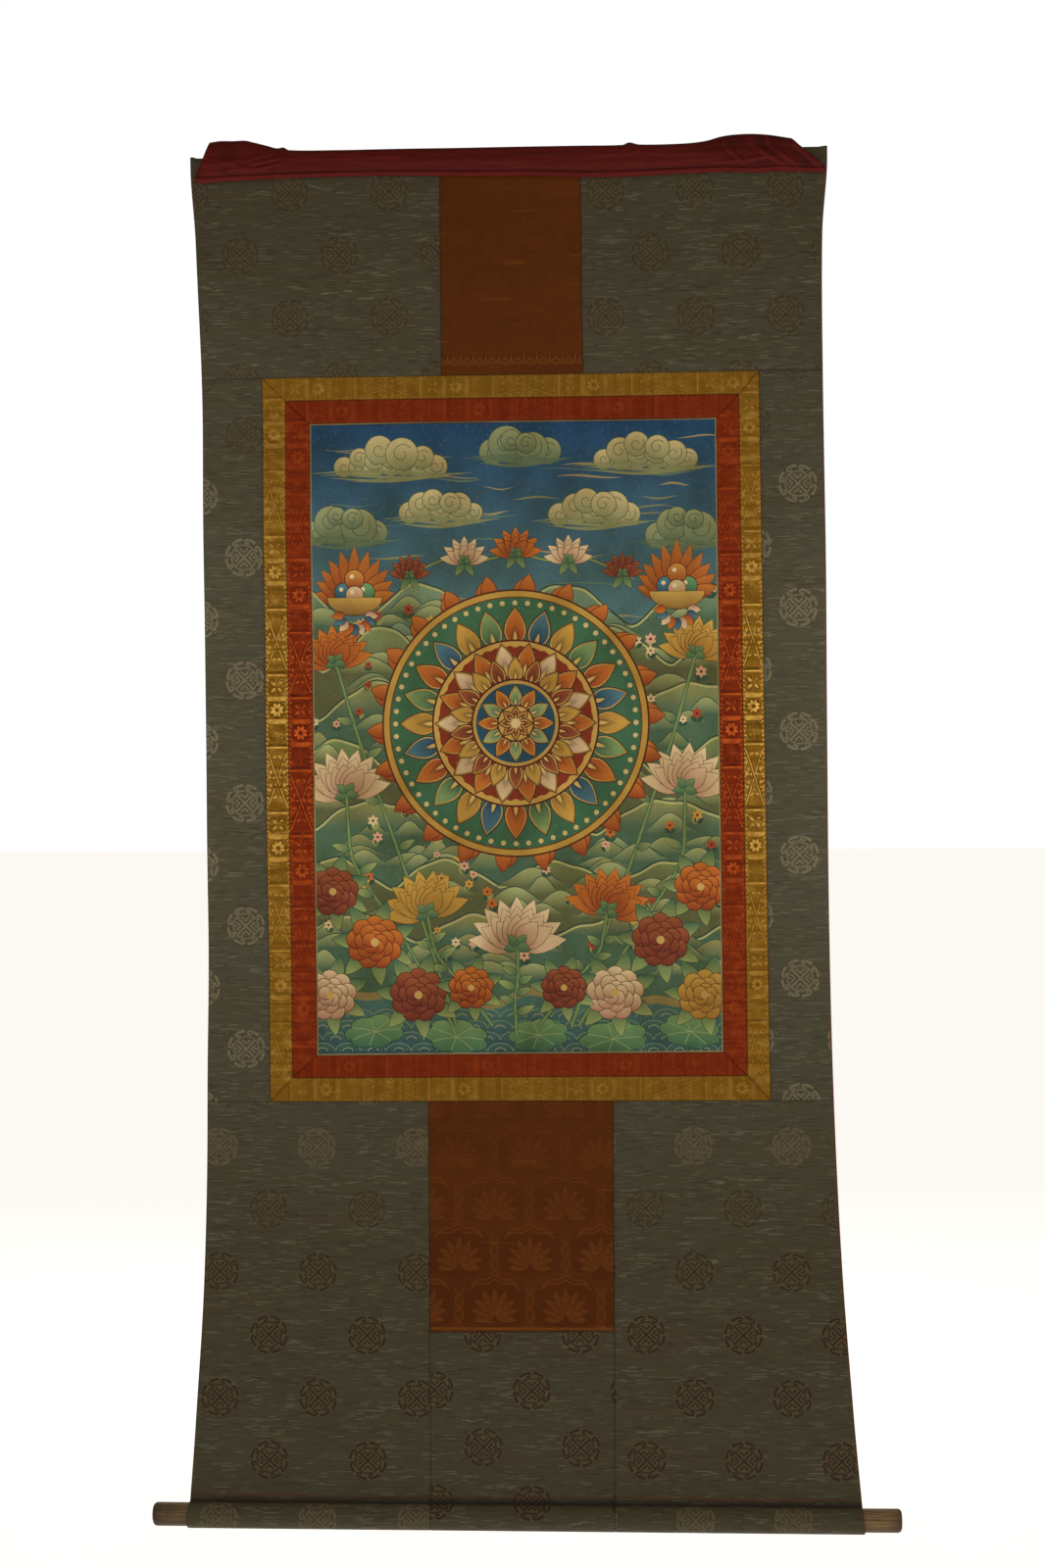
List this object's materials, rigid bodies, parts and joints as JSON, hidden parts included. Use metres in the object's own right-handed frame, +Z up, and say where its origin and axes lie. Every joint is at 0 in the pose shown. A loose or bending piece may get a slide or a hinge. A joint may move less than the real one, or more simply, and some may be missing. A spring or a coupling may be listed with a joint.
{
  "type": "thangka scroll hanging with wooden rod",
  "caption": "Hanging scroll with a painted canvas in mitred red and gold borders, a pieced brocade mount, a silk cover gathered over its top edge and a wooden rod in a sleeve at its foot.",
  "frame": {"origin": "middle of the mount's top edge, where the hanging is held", "axes": "+Z up the hanging, +X to the right as seen from the painted face, the painted face looks along -Y"},
  "size_m": [0.822, 0.031, 1.5307],
  "materials": {
    "painted_canvas": "matte painted canvas",
    "red_brocade": "woven silk with metallic thread",
    "gold_brocade": "woven silk with gold thread",
    "green_brocade": "slubbed brocade weave",
    "orange_damask": "satin damask",
    "red_silk": "soft satin silk",
    "brown_wood": "worn turned wood"
  },
  "bodies": {
    "root": {"painting": "painted_canvas", "red_border_top": "red_brocade", "red_border_bottom": "red_brocade", "red_border_left": "red_brocade", "red_border_right": "red_brocade", "gold_border_top": "gold_brocade", "gold_border_bottom": "gold_brocade", "gold_border_left": "gold_brocade", "gold_border_right": "gold_brocade", "upper_brocade_left": "green_brocade", "upper_centre_panel": "orange_damask", "upper_brocade_right": "green_brocade", "side_brocade_left": "green_brocade", "side_brocade_right": "green_brocade", "lower_brocade_left": "green_brocade", "lower_centre_panel": "orange_damask", "lower_centre_brocade": "green_brocade", "lower_brocade_right": "green_brocade", "rod": "brown_wood", "silk_cover": "red_silk"}
  },
  "joints": []
}
